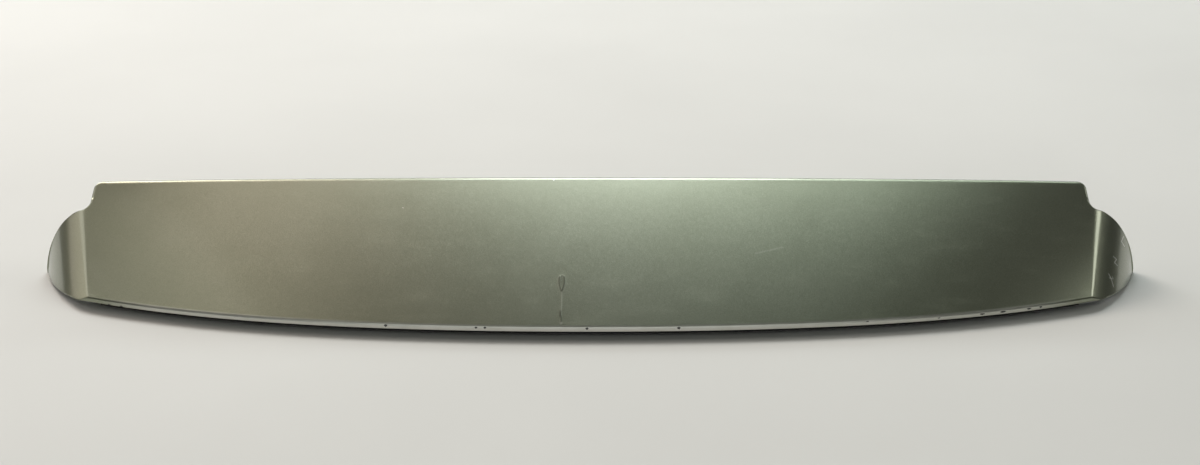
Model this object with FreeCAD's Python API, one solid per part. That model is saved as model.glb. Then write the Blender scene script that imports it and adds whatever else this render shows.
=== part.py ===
import FreeCAD, Part
import math
import os
from FreeCAD import Vector

# A tailgate spoiler lying on its mounting side: leading edge towards -Y,
# trailing edge towards +Y, the tips of the studs and of the ears on z = 0.

# Painted panel
depth = 195.0            # leading edge centre to trailing edge
front_half = 535.0       # centre to the front end of each crease
bow_even = 49.0          # bow of the leading edge at the crease, even share
bow_end = 27.0           # bow that gathers towards the ends
rim_z = 10.0             # underside of the leading lip
lip_height = 5.0         # upright face of the leading lip
trailing_z = 107.5       # top of the trailing edge at its ends
trailing_crown = 3.5     # rise of the trailing edge at the centre
camber = 2.0             # fullness of the panel between its two edges
wall = 3.0               # wall of the painted moulding
edge_height = 12.0       # flange turned down at the trailing edge

# Ears and overhang
crease_splay = 22.0      # the crease runs outwards to its rear end
crease_rear_y = 165.0    # rear end of the crease behind the leading edge centre
ear_radius = 120.0       # roll of the ear about a line parallel to the crease
ear_fold = 38.0          # turn of the ear at the crease, degrees
ear_sweep = 0.3          # rear edge of the ear runs back as it goes out
ear_rim_end = 172.0      # where the rim of the ear comes down to the ground
overhang_step = 8.0      # the overhang lies this far inside the rear end of the crease
overhang_taper = 2.0     # the overhang narrows towards the trailing edge
notch_r = 8.0            # inner corner between overhang and ear
corner_r = 10.0          # outer corners of the trailing edge
crease_r_front = 6.0     # rounding of the crease, opening towards the rear
crease_r_rear = 17.0
lip_r = 3.5              # rounding of the leading lip
edge_r = 2.0             # rounding of the trailing edge

# Closing panel under the painted moulding
bond_gap = 0.3           # adhesive line between the two mouldings
skin = 2.5               # wall of the closing panel
land_z = 16.0            # underside of the mounting land
front_inset = 20.0       # front wall of the closing panel behind the lip
foot_y = 90.0            # bend between land and web at the centre
foot_bow = 0.5           # share of the leading edge's bow that the bend follows
web_recess = 1.0         # the web lies a little inside the trailing flange
bend_r = 6.0
swage_count = 4          # stiffening panels raised in the web
swage_pitch = 250.0
swage_width = 205.0
swage_front = 22.0       # from the bend
swage_rear = 160.0       # from the leading edge centre
swage_rise = 3.0
swage_r = 10.0

# Studs with their foam washers, clips and locating pegs
stud_x = (150.0, 420.0)
stud_back = 45.0         # studs behind the leading edge
stud_r = 3.0
collar_r = 3.4           # plain collar inside the boss
collar_clear = 0.05
head_width = 16.0
head_height = 3.0
boss_r = 9.0
boss_height = 3.0
washer_r = 16.0
washer_thick = 5.0
washer_gap = 0.4
clip_x = 285.0           # inner clips
clip_inside = 35.0       # outer clips, inside the creases
clip_back = 40.0
clip_neck = 7.0
clip_clear = 0.15
clip_flange = 1.6
clip_flange_length = 20.0
clip_flange_width = 16.0
clip_blade_length = 8.0
clip_blade_width = 5.0
clip_tip_z = 1.5
peg_r = 4.0
peg_tip_z = 3.0
blade_length = 16.0
blade_thick = 3.0
blade_out = 21.0         # blades outside the front end of the creases
blade_y = 132.0

# Soft seals
seal_rear = 13.0         # strip behind the lip, from the lip's outer face
seal_z = 7.5             # stands a little below the lip
seal_inside = 13.0       # ends inside the creases
pad_inset = 1.0          # foam strip inside the rim of each ear
pad_width = 10.0
pad_z = 7.0

y_lead = -depth / 2.0
lip_z = rim_z + lip_height
crease_rear_x = front_half + crease_splay
overhang_half = crease_rear_x - overhang_step
clips = (clip_x, front_half - clip_inside)

# Construction bodies run past the object
ear_room = 105.0
reach = front_half + ear_room
high = 400.0
margin = 60.0
core_inset = 35.0        # the rolled ears take over this far inside the creases
stations = [reach * i / 2.0 for i in range(-2, 3)]


def leading_bow(x):
    """Distance that the leading edge lies behind its own centre."""
    q = x / front_half
    return bow_even * q ** 2 + bow_end * q ** 4


def trailing_height(x):
    """Top of the crowned trailing edge."""
    return trailing_z + trailing_crown * (1.0 - (x / overhang_half) ** 2)


def panel_point(x, t, drop):
    """Point of the painted panel, t = 0 leading and 1 trailing, sunk by drop."""
    front = leading_bow(x)
    rise = trailing_height(x) - lip_z
    run = depth - front
    z = lip_z + t * rise + 4.0 * camber * t * (1.0 - t)
    return Vector(x, y_lead + front + t * run, z - drop * math.hypot(1.0, rise / run))


def web_point(x, t, drop):
    """Point of the underside of the closing panel's web, sunk by drop."""
    front = foot_y + foot_bow * leading_bow(x)
    rise = trailing_height(x) - edge_height + web_recess - land_z
    run = depth - front
    return Vector(x, y_lead + front + t * run, land_z + t * rise - drop * math.hypot(1.0, rise / run))


def bezier(points):
    """Curve of the lowest degree through evenly spaced points."""
    curve = Part.BezierCurve()
    curve.interpolate([[p] for p in points], [i / (len(points) - 1.0) for i in range(len(points))])
    return curve


def below(point, drop):
    """Solid that lies under a surface given by a point function."""
    rows = [bezier([point(x, t, drop) for x in stations]).getPoles() for t in (-0.3, 0.5, 1.3)]
    surface = Part.BezierSurface()
    surface.increase(len(stations) - 1, len(rows) - 1)
    for i, column in enumerate(zip(*rows)):
        for j, pole in enumerate(bezier(column).getPoles()):
            surface.setPole(i + 1, j + 1, pole)
    return surface.toShape().extrude(Vector(0, 0, -high))


def panel_height(x, y):
    """Top of the painted panel above a place, y from the leading edge centre."""
    front = leading_bow(x)
    return panel_point(x, (y - front) / (depth - front), 0.0).z


def crease_frame():
    """Front end of the right crease, its direction, and the ear's normal there."""
    start = Vector(front_half, y_lead + leading_bow(front_half), lip_z)
    end = Vector(crease_rear_x, y_lead + crease_rear_y, panel_height(crease_rear_x, crease_rear_y))
    along = (end - start).normalize()
    side = along.cross(Vector(0, 0, 1)).normalize()
    up = side.cross(along)
    turn = math.radians(ear_fold)
    return start, along, side * math.sin(turn) + up * math.cos(turn)


def mirrored(shape):
    """The same shape on the left side."""
    return shape.mirror(Vector(0, 0, 0), Vector(1, 0, 0))


def both_sides(shape):
    """A shape together with its mirror image."""
    return [shape, mirrored(shape)]


def ear_roll(inset):
    """Cylinder whose outside is the skin of the right ear."""
    start, along, normal = crease_frame()
    centre = start - normal * ear_radius - along * (2.0 * margin)
    return Part.makeCylinder(ear_radius - inset, high, centre, along)


def prism(points, z_low, z_high):
    """Upright block over a plan polygon."""
    loop = [Vector(x, y, z_low) for x, y in points]
    face = Part.Face(Part.makePolygon(loop + loop[:1]))
    return face.extrude(Vector(0, 0, z_high - z_low))


def within_ears(inset):
    """Everything between the two ear skins."""
    start, along, normal = crease_frame()
    x_at = lambda y: start.x - core_inset + along.x / along.y * (y - start.y)
    y_near, y_far = y_lead - margin, depth
    core = prism([(-x_at(y_near), y_near), (x_at(y_near), y_near),
                  (x_at(y_far), y_far), (-x_at(y_far), y_far)], -margin, high)
    return core.fuse(both_sides(ear_roll(inset)))


def leading_curve(inset):
    """Plan curve of the leading edge, moved back by inset."""
    points = []
    for x in stations:
        slope = leading_bow(x + 0.5) - leading_bow(x - 0.5)
        points.append(Vector(x, y_lead + leading_bow(x) + inset * math.hypot(1.0, slope), 0))
    return bezier(points).toShape()


def behind_leading(inset):
    """Upright block behind the leading edge, reaching past the trailing edge."""
    front = leading_curve(inset)
    a, b = front.Vertexes[0].Point, front.Vertexes[-1].Point
    back = depth
    sides = Part.makePolygon([b, Vector(b.x, back, 0), Vector(a.x, back, 0), a])
    face = Part.Face(Part.Wire([front] + sides.Edges))
    return face.extrude(Vector(0, 0, high)).translated(Vector(0, 0, -margin))


def ear_rear_y(x):
    """Rear edge of the right ear in plan."""
    return y_lead + crease_rear_y + ear_sweep * (x - crease_rear_x)


def upright_edges(shape, places):
    """Vertical edges of a block that stand on the given plan points."""
    found = []
    for edge in shape.Edges:
        a, b = edge.Vertexes[0].Point, edge.Vertexes[-1].Point
        if math.hypot(a.x - b.x, a.y - b.y) < 0.01 and abs(a.z - b.z) > 1.0:
            if min(math.hypot(a.x - x, a.y - y) for x, y in places) < 0.1:
                found.append(edge)
    return found


def rear_outline(inset):
    """Upright block bounded by the rear edges: ears, notches and overhang."""
    y_back = depth / 2.0 - inset
    half = overhang_half - inset
    tail = half - overhang_taper
    notch = (half, ear_rear_y(half) - inset)
    right = [(tail, y_back), notch, (reach, ear_rear_y(reach) - inset), (reach, y_lead - margin)]
    left = [(-x, y) for x, y in reversed(right)]
    body = prism(right + left, -margin, high)
    body = body.makeFillet(corner_r - inset, upright_edges(body, [(tail, y_back), (-tail, y_back)]))
    return body.makeFillet(notch_r + inset, upright_edges(body, [notch, (-notch[0], notch[1])]))


def above_rim():
    """Everything above the rim: level under the lip, falling to the ear tips."""
    y_corner = y_lead + leading_bow(front_half)
    line = [(y_lead - margin, rim_z), (y_corner, rim_z), (y_lead + ear_rim_end, 0.0), (depth, 0.0),
            (depth, high), (y_lead - margin, high)]
    loop = [Vector(-reach, y, z) for y, z in line]
    return Part.Face(Part.makePolygon(loop + loop[:1])).extrude(Vector(2.0 * reach, 0, 0))


def behind_ears():
    """Upright block behind the rear edges of the ears and the rounded notches."""
    sweep = math.atan(ear_sweep)
    run = notch_r / math.tan(math.radians(45.0) - sweep / 2.0)
    x_ear = overhang_half + run * math.cos(sweep)
    right = [(overhang_half, ear_rear_y(overhang_half) + run), (x_ear, ear_rear_y(x_ear)),
             (reach, ear_rear_y(reach)), (reach, depth)]
    left = [(-x, y) for x, y in reversed(right)]
    return prism(right + left, -margin, high)


def under_overhang():
    """Open space behind the ears, below the flange of the overhang."""
    return behind_ears().common(below(web_point, web_recess))


def folded(inset):
    """Panel and ears as one thick body, all skins moved in by inset."""
    limits = Part.makeBox(2.0 * reach, depth + 2.0 * margin, high, Vector(-reach, y_lead - margin, -margin / 2.0))
    return below(panel_point, inset).common(within_ears(inset)).common(limits).Solids[0]


def trimmed(body, inset):
    """A folded body cut to the plan outline."""
    return body.common(behind_leading(inset)).common(rear_outline(inset)).Solids[0]


def near(edge, test):
    """True when both ends and the middle of an edge pass a test."""
    first, last = edge.ParameterRange
    return all(test(edge.valueAt(first + k * (last - first))) for k in (0.02, 0.5, 0.98))


def crease_edges(body):
    """The fold lines between panel and ears."""
    along = crease_frame()[1]

    def folds(edge):
        v = edge.Vertexes[-1].Point - edge.Vertexes[0].Point
        return v.Length > margin and Vector(abs(v.x), v.y, v.z).normalize().dot(along) > 0.97
    return [e for e in body.Edges if folds(e)]


def lip_edges(body):
    """Upper edge of the leading lip."""
    def on_lip(p):
        return abs(p.y - y_lead - leading_bow(p.x)) < 0.5 and abs(p.z - lip_z) < lip_height / 2.0
    return [e for e in body.Edges if near(e, on_lip)]


def rear_edges(body):
    """Upper edges of the overhang: trailing edge, corners and sides."""
    y_front = ear_rear_y(overhang_half) + notch_r

    def on_top(edge):
        a, b = edge.Vertexes[0].Point, edge.Vertexes[-1].Point
        return max(a.z, b.z) > 0.0 and math.hypot(a.x - b.x, a.y - b.y) > 0.1
    return [e for e in body.Edges if on_top(e) and near(e, lambda p: p.y > y_front and abs(p.x) < overhang_half)]


def outer_shell():
    """Painted moulding: panel, leading lip, ears and turned-down edges."""
    body = folded(0.0)
    body = trimmed(body.makeFillet(crease_r_front, crease_r_rear, crease_edges(body)).Solids[0], 0.0)
    body = body.makeFillet(lip_r, lip_edges(body)).Solids[0]
    body = body.makeFillet(edge_r, rear_edges(body)).Solids[0]
    body = body.common(above_rim()).cut(under_overhang())
    return body.cut(trimmed(folded(wall), wall)).Solids[0]


def level(z_low, z_high):
    """Flat layer between two heights."""
    return Part.makeBox(2.0 * reach, 2.0 * depth, z_high - z_low, Vector(-reach, -depth, z_low))


def row(places, back):
    """Points along the leading edge, on both sides, set back behind it."""
    xs = [side * x for x in places for side in (-1.0, 1.0)]
    return [Vector(x, y_lead + leading_bow(x) + back, 0) for x in xs]


def rod(place, radius, z_low, z_high):
    """Upright cylinder over a plan point."""
    return Part.makeCylinder(radius, z_high - z_low, Vector(place.x, place.y, z_low))


def block(place, length, width, z_low, z_high):
    """Upright box centred over a plan point."""
    corner = Vector(place.x - length / 2.0, place.y - width / 2.0, z_low)
    return Part.makeBox(length, width, z_high - z_low, corner)


def swages(grow):
    """Plan blocks of the stiffening panels in the web."""
    blocks = []
    for i in range(swage_count):
        x = swage_pitch * (i - (swage_count - 1) / 2.0)
        y_near = y_lead + foot_y + foot_bow * leading_bow(x) + swage_front - grow
        y_far = y_lead + swage_rear + grow
        half = swage_width / 2.0 + grow
        corners = [(x - half, y_near), (x + half, y_near), (x + half, y_far), (x - half, y_far)]
        shape = prism(corners, -margin, high)
        blocks.append(shape.makeFillet(swage_r + grow, upright_edges(shape, corners)))
    return blocks


def tailgate_space(grow):
    """Space under the web, between the ears' inner cheeks, widened by grow."""
    half = overhang_half - wall - bond_gap - skin + grow
    limits = Part.makeBox(2.0 * half, 2.0 * depth, high, Vector(-half, -depth, -margin))
    space = below(web_point, -grow).common(limits.fuse(behind_ears()))
    raised = below(web_point, -grow - swage_rise)
    return space.fuse([raised.common(block) for block in swages(grow)])


def bend_edges(body):
    """Bend between the land and the web on the underside."""
    def on_bend(p):
        return abs(p.y - y_lead - foot_y - foot_bow * leading_bow(p.x)) < 0.5 and abs(p.z - land_z) < 0.1
    return [e for e in body.Edges if e.Length > front_half and near(e, on_bend)]


def closing_panel():
    """Lower moulding: mounting land, web, cheeks, bosses and locating pegs."""
    inset = wall + bond_gap
    hollow = trimmed(folded(inset), inset).common(behind_leading(front_inset))
    hollow = hollow.common(level(land_z, high)).cut(under_overhang())
    floor = hollow.common(tailgate_space(skin).fuse(level(land_z, land_z + skin)))
    front_wall = hollow.cut(behind_leading(front_inset + skin))
    body = floor.fuse(front_wall).cut(tailgate_space(0.0)).removeSplitter().Solids[0]
    body = body.makeFillet(bend_r, bend_edges(body)).Solids[0]
    bosses = [rod(p, boss_r, land_z - boss_height, land_z) for p in row(stud_x, stud_back)]
    pegs = [rod(Vector(0, y_lead + stud_back, 0), peg_r, peg_tip_z, land_z)]
    blade = block(Vector(front_half + blade_out, y_lead + blade_y, 0), blade_thick, blade_length, peg_tip_z, land_z)
    body = body.fuse(bosses + pegs + both_sides(blade))
    top = land_z + skin
    holes = [rod(p, collar_r + collar_clear, 0.0, top) for p in row(stud_x, stud_back)]
    slot = clip_neck + 2.0 * clip_clear
    holes += [block(p, slot, slot, 0.0, top) for p in row(clips, clip_back)]
    return body.cut(holes).removeSplitter().Solids[0]


def stud(place):
    """Threaded stud whose head lies on the land inside the hollow."""
    shoulder = land_z - boss_height
    top = land_z + skin
    shank = rod(place, stud_r, 0.0, shoulder)
    collar = rod(place, collar_r, shoulder, top)
    head = block(place, head_width, head_width, top, top + head_height)
    return shank.fuse([collar, head]).removeSplitter().Solids[0]


def foam_washer(place):
    """Foam ring round a stud boss."""
    ring = rod(place, washer_r, land_z - washer_thick, land_z)
    return ring.cut(rod(place, boss_r + washer_gap, 0.0, land_z))


def clip(place):
    """Push-in clip: neck in the land, flange and blade below it."""
    neck = block(place, clip_neck, clip_neck, land_z, land_z + skin)
    flange = block(place, clip_flange_length, clip_flange_width, land_z - clip_flange, land_z)
    blade = block(place, clip_blade_length, clip_blade_width, clip_tip_z, land_z - clip_flange)
    return neck.fuse([flange, blade]).removeSplitter().Solids[0]


def leading_edge_seal():
    """Rubber strip behind the leading lip, standing a little below it."""
    strip = behind_leading(wall).cut(behind_leading(seal_rear)).common(below(panel_point, wall))
    half = front_half - seal_inside
    limits = Part.makeBox(2.0 * half, depth, high, Vector(-half, y_lead - margin, seal_z))
    return strip.common(limits).Solids[0]


def ear_pad():
    """Foam strip under the land, inside the rim of the right ear."""
    outer = wall + pad_inset
    strip = ear_roll(outer).cut(ear_roll(outer + pad_width)).common(level(pad_z, land_z))
    strip = strip.common(behind_leading(front_inset)).common(rear_outline(outer))
    return strip.common(Part.makeBox(reach, 2.0 * depth, high, Vector(overhang_half, -depth, 0.0))).Solids[0]


os.makedirs("parts", exist_ok=True)
pieces = {
    "outer_shell": outer_shell(),
    "closing_panel": closing_panel(),
    "mounting_studs": Part.makeCompound([stud(p) for p in row(stud_x, stud_back)]),
    "stud_washers": Part.makeCompound([foam_washer(p) for p in row(stud_x, stud_back)]),
    "retaining_clips": Part.makeCompound([clip(p) for p in row(clips, clip_back)]),
    "leading_edge_seal": leading_edge_seal(),
    "ear_pads": Part.makeCompound(both_sides(ear_pad())),
}
for name, shape in pieces.items():
    shape.exportStep("parts/" + name + ".step")
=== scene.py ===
"""Looks of a tailgate spoiler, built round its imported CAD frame."""

import logging
import math
from dataclasses import dataclass, field, replace
from enum import Enum
from functools import cached_property, partial
from typing import Callable, Iterable, Optional, Sequence, Union

import bmesh
import bpy
import numpy as np
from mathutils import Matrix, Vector


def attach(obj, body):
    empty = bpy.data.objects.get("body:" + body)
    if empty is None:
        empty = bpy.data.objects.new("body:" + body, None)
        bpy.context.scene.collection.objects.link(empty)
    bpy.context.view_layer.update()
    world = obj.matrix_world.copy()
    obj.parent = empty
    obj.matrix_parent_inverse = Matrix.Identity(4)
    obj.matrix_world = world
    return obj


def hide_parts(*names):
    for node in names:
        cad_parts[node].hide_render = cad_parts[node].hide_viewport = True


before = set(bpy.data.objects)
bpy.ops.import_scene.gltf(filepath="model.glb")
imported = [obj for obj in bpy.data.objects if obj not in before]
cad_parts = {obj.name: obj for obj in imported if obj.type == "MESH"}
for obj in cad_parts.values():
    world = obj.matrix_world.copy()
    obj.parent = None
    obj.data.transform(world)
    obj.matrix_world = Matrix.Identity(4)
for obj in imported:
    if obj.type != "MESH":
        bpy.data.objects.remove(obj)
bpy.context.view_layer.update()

BODY = "root"
MM = 0.001
TINY = 1e-9
UP = np.array((0.0, 0.0, 1.0))
log = logging.getLogger("spoiler")

Point = np.ndarray
Triple = tuple[float, float, float]
Colour = Triple
Face = tuple[int, ...]
Socket = bpy.types.NodeSocket
Feed = Union[Socket, float, Sequence[float]]
Finish = bpy.types.Material
Piece = bpy.types.Object


class Slot(Enum):
    """Material slots of the record."""

    PAINT = "body_paint"
    GRAIN = "grained_plastic"
    ZINC = "zinc_steel"
    FOAM = "closed_foam"
    CLIP = "clip_plastic"
    RUBBER = "seal_rubber"


class NodeBoard:
    """A material's node tree with short calls for the nodes that the finishes use."""

    # Sockets of the Mix node when it mixes colours
    MIX_INPUTS = (6, 7)
    MIX_OUTPUT = 2

    def __init__(self, name: str) -> None:
        """Start an empty material with a Principled shader.

        Args:
            name: Name of the material.
        """
        self.material = bpy.data.materials.new(name)
        self.material.use_nodes = True
        self.tree = self.material.node_tree
        self.tree.nodes.clear()
        self.out = self.tree.nodes.new("ShaderNodeOutputMaterial")
        self.shader = self.tree.nodes.new("ShaderNodeBsdfPrincipled")
        self.link(self.shader.outputs["BSDF"], self.out.inputs["Surface"])
        self.place = self.tree.nodes.new("ShaderNodeTexCoord").outputs["Object"]

    def link(self, source: Socket, target: Socket) -> None:
        """Join two sockets."""
        self.tree.links.new(source, target)

    def feed(self, socket: Socket, value: Feed) -> None:
        """Give an input either a link or a constant.

        Args:
            socket: Input socket.
            value: Output socket to link, or the value to set.
        """
        if isinstance(value, Socket):
            self.link(value, socket)
        else:
            socket.default_value = value

    def set(self, **values: Feed) -> None:
        """Set or link inputs of the shader; underscores stand for spaces."""
        for key, value in values.items():
            self.feed(self.shader.inputs[key.replace("_", " ")], value)

    def math(self, kind: str, a: Feed, b: Feed, clamp: bool = False) -> Socket:
        """Return the output of a math node.

        Args:
            kind: Operation.
            a: First number.
            b: Second number.
            clamp: True to keep the result within 0 and 1.

        Returns:
            The value output.
        """
        node = self.tree.nodes.new("ShaderNodeMath")
        node.operation = kind
        node.use_clamp = clamp
        for socket, value in zip(node.inputs, (a, b)):
            self.feed(socket, value)
        return node.outputs[0]

    def times(self, a: Feed, b: Feed) -> Socket:
        """Return a product."""
        return self.math("MULTIPLY", a, b)

    def plus(self, a: Feed, b: Feed) -> Socket:
        """Return a sum."""
        return self.math("ADD", a, b)

    def most(self, a: Feed, b: Feed) -> Socket:
        """Return the larger of two numbers."""
        return self.math("MAXIMUM", a, b)

    def vector(self, kind: str, a: Feed, b: Feed = (0.0, 0.0, 0.0), scale: Optional[Feed] = None,
               value: bool = False) -> Socket:
        """Return an output of a vector math node.

        Args:
            kind: Operation.
            a: First vector.
            b: Second vector.
            scale: Factor of the scale operation.
            value: True for operations whose result is a number.

        Returns:
            The vector or value output.
        """
        node = self.tree.nodes.new("ShaderNodeVectorMath")
        node.operation = kind
        self.feed(node.inputs[0], a)
        self.feed(node.inputs[1], b)
        if scale is not None:
            self.feed(node.inputs["Scale"], scale)
        return node.outputs["Value" if value else "Vector"]

    def noise(self, scale: float, detail: float = 2.0, rough: float = 0.5,
              stretch: Optional[Triple] = None) -> Socket:
        """Return the value of a noise pattern, about 0.5 on average.

        Args:
            scale: Cells per metre.
            detail: Octaves.
            rough: Share of the finer octaves.
            stretch: Factors by which the place is scaled first.

        Returns:
            The factor output.
        """
        node = self.tree.nodes.new("ShaderNodeTexNoise")
        place = self.place
        if stretch is not None:
            place = self.vector("MULTIPLY", place, stretch)
        for key, value in (("Vector", place), ("Scale", scale), ("Detail", detail), ("Roughness", rough)):
            self.feed(node.inputs[key], value)
        return node.outputs["Fac"]

    def cells(self, scale: float) -> tuple[Socket, Socket]:
        """Return a pattern of irregular cells.

        Args:
            scale: Cells per metre.

        Returns:
            Distance from the middle of the cell, and a random colour of each cell.
        """
        node = self.tree.nodes.new("ShaderNodeTexVoronoi")
        self.link(self.place, node.inputs["Vector"])
        node.inputs["Scale"].default_value = scale
        return node.outputs["Distance"], node.outputs["Color"]

    def ramp(self, value: Feed, low: float, high: float, to_low: float = 0.0, to_high: float = 1.0) -> Socket:
        """Return a value mapped smoothly from one range to another.

        Args:
            value: Number to map.
            low: Start of its range.
            high: End of its range.
            to_low: Result at the start.
            to_high: Result at the end.

        Returns:
            The mapped output.
        """
        node = self.tree.nodes.new("ShaderNodeMapRange")
        node.interpolation_type = "SMOOTHSTEP"
        for socket, number in zip(node.inputs, (value, low, high, to_low, to_high)):
            self.feed(socket, number)
        return node.outputs[0]

    def mix(self, share: Feed, a: Union[Socket, Colour], b: Union[Socket, Colour]) -> Socket:
        """Return a colour between two colours.

        Args:
            share: Share of the second colour.
            a: First colour.
            b: Second colour.

        Returns:
            The colour output.
        """
        node = self.tree.nodes.new("ShaderNodeMix")
        node.data_type = "RGBA"
        self.feed(node.inputs["Factor"], share)
        for number, colour in zip(self.MIX_INPUTS, (a, b)):
            self.feed(node.inputs[number], colour if isinstance(colour, Socket) else (*colour, 1.0))
        return node.outputs[self.MIX_OUTPUT]

    def attribute(self, name: str) -> Socket:
        """Return a named attribute of the mesh as a number.

        Args:
            name: Name of the attribute.

        Returns:
            The factor output.
        """
        node = self.tree.nodes.new("ShaderNodeAttribute")
        node.attribute_name = name
        return node.outputs["Fac"]

    def bump(self, height: Socket, depth: float, strength: float = 1.0) -> Socket:
        """Return a normal bent by a height pattern.

        Args:
            height: Height output, 0 to 1.
            depth: Depth of the pattern in metres.
            strength: Share of the effect.

        Returns:
            The normal output.
        """
        node = self.tree.nodes.new("ShaderNodeBump")
        for key, value in (("Strength", strength), ("Distance", depth), ("Height", height)):
            self.feed(node.inputs[key], value)
        return node.outputs["Normal"]

    def near_line(self, start: Sequence[float], end: Sequence[float], width: float) -> Socket:
        """Return a mask round a straight stroke.

        Args:
            start: First end in metres.
            end: Last end in metres.
            width: Half width of the stroke in metres.

        Returns:
            1 on the stroke, falling to 0 beside it.
        """
        run = Vector(end) - Vector(start)
        rel = self.vector("SUBTRACT", self.place, tuple(start))
        share = self.vector("DOT_PRODUCT", rel, tuple(run / run.length_squared), value=True)
        share = self.math("ADD", share, 0.0, clamp=True)
        foot = self.vector("SCALE", tuple(run), scale=share)
        gap = self.vector("DISTANCE", rel, foot, value=True)
        return self.ramp(gap, width * 0.4, width, 1.0, 0.0)


@dataclass(frozen=True)
class Scratch:
    """Straight stroke that bares the paint, in millimetres."""

    start: Triple
    end: Triple
    half: float
    share: float = 0.9

    def mask(self, b: NodeBoard) -> Socket:
        """Return how far the stroke bares the paint, 0 to 1."""
        start, end = ([n * MM for n in p] for p in (self.start, self.end))
        return b.times(b.near_line(start, end, self.half * MM), self.share)


@dataclass(frozen=True)
class MetallicPaint:
    """Sage metallic base coat under clear coat, with its wear and a painted highlight along the lip face."""

    base: Colour = (0.212, 0.230, 0.166)
    flake_light: Colour = (0.277, 0.298, 0.228)
    primer: Colour = (0.018, 0.018, 0.017)
    # Pale colour of the lip band: a painted highlight on the lip face, partly paint worn by rubbing
    rub_and_highlight: Colour = (0.66, 0.66, 0.62)
    pale: Colour = (0.44, 0.45, 0.38)
    bared: Colour = (0.74, 0.74, 0.69)
    dust: Colour = (0.27, 0.265, 0.235)
    metallic: float = 0.94
    roughness: float = 0.31
    coat: float = 0.85
    coat_roughness: float = 0.12
    coat_ior: float = 1.5
    peel_depth: float = 0.00002
    flake_scale: float = 2600.0
    flake_share: float = 0.45
    flake_tilt: float = 0.08
    dust_share: float = 0.06
    run_share: float = 0.62
    scratches: tuple[Scratch, ...] = ()

    def clean_coat(self, b: NodeBoard, tint: Socket, haze: Socket) -> Socket:
        """Return the colour of the unworn paint.

        Args:
            b: Nodes of the paint.
            tint: Random colour of each flake.
            haze: Pattern of the dust.

        Returns:
            The colour output.
        """
        sparkle = b.vector("DOT_PRODUCT", tint, (0.33, 0.33, 0.34), value=True)
        cloud = b.times(b.noise(6.0), 1.0 - self.flake_share)
        shade = b.plus(b.times(sparkle, self.flake_share), cloud)
        colour = b.mix(b.ramp(shade, 0.2, 0.8), self.base, self.flake_light)
        return b.mix(b.times(haze, self.dust_share), colour, self.dust)

    def strokes(self, b: NodeBoard) -> Socket:
        """Return how far all the scratches bare the paint, with breaks along them.

        Args:
            b: Nodes of the paint.

        Returns:
            The share output.
        """
        bare: Feed = 0.0
        for scratch in self.scratches:
            bare = b.most(bare, scratch.mask(b))
        return b.times(bare, b.ramp(b.noise(900.0, 3.0), 0.32, 0.5))

    def flake_normal(self, b: NodeBoard, tint: Socket) -> Socket:
        """Return the normal tilted a little by each flake.

        Args:
            b: Nodes of the paint.
            tint: Random colour of each flake.

        Returns:
            The normal output.
        """
        tilt = b.vector("SCALE", b.vector("SUBTRACT", tint, (0.5, 0.5, 0.5)), scale=self.flake_tilt)
        normal = b.tree.nodes.new("ShaderNodeNewGeometry").outputs["Normal"]
        return b.vector("NORMALIZE", b.vector("ADD", normal, tilt))

    def material(self) -> Finish:
        """Return the finish as a material.

        Returns:
            The material.
        """
        b = NodeBoard("metallic_paint")
        _, tint = b.cells(self.flake_scale)
        haze = b.ramp(b.noise(24.0, 6.0, 0.62, (1.0, 3.0, 3.0)), 0.5, 0.85)
        # The lip band: a pale colour painted on the lip face as its highlight, partly paint worn by rubbing; it also
        # lowers the metal share
        worn = b.times(b.attribute("lip"), b.ramp(b.noise(60.0, 4.0), 0.25, 0.7, 0.85, 1.0))
        run = b.times(b.attribute("run"), self.run_share)
        strokes = self.strokes(b)
        chip = b.ramp(b.plus(b.attribute("chip"), b.times(b.noise(1600.0, 3.0), 0.5)), 0.62, 0.74)
        colour = self.clean_coat(b, tint, haze)
        for share, over in ((worn, self.rub_and_highlight), (run, self.primer), (b.attribute("pale"), self.pale),
                            (strokes, self.bared), (chip, self.primer)):
            colour = b.mix(share, colour, over)
        dull = b.most(b.most(chip, b.times(worn, 0.4)), b.times(strokes, 0.75))
        rough = b.plus(b.plus(b.times(haze, 0.07), self.roughness), b.times(chip, 0.3))
        b.set(Base_Color=colour, Metallic=b.times(b.math("SUBTRACT", 1.0, dull), self.metallic))
        b.set(Roughness=rough, Normal=self.flake_normal(b, tint))
        b.set(Coat_Weight=self.coat, Coat_Roughness=self.coat_roughness, Coat_IOR=self.coat_ior)
        b.set(Coat_Normal=b.bump(b.noise(420.0), self.peel_depth, 0.35))
        return b.material


@dataclass(frozen=True)
class MouldedPlastic:
    """Moulded plastic with a fine grain."""

    name: str
    colour: Colour
    light: Colour
    roughness: float = 0.55
    grain: float = 850.0
    depth: float = 0.00012
    dust_share: float = 0.7

    def material(self) -> Finish:
        """Return the finish as a material.

        Returns:
            The material.
        """
        b = NodeBoard(self.name)
        gap, _ = b.cells(self.grain)
        cloud = b.noise(14.0, 5.0, 0.6)
        dust = b.times(b.ramp(cloud, 0.45, 0.8), self.dust_share)
        b.set(Base_Color=b.mix(dust, self.colour, self.light))
        b.set(Roughness=b.ramp(cloud, 0.3, 0.7, self.roughness - 0.06, self.roughness + 0.12))
        b.set(Normal=b.bump(gap, self.depth, 0.6))
        return b.material


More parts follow.
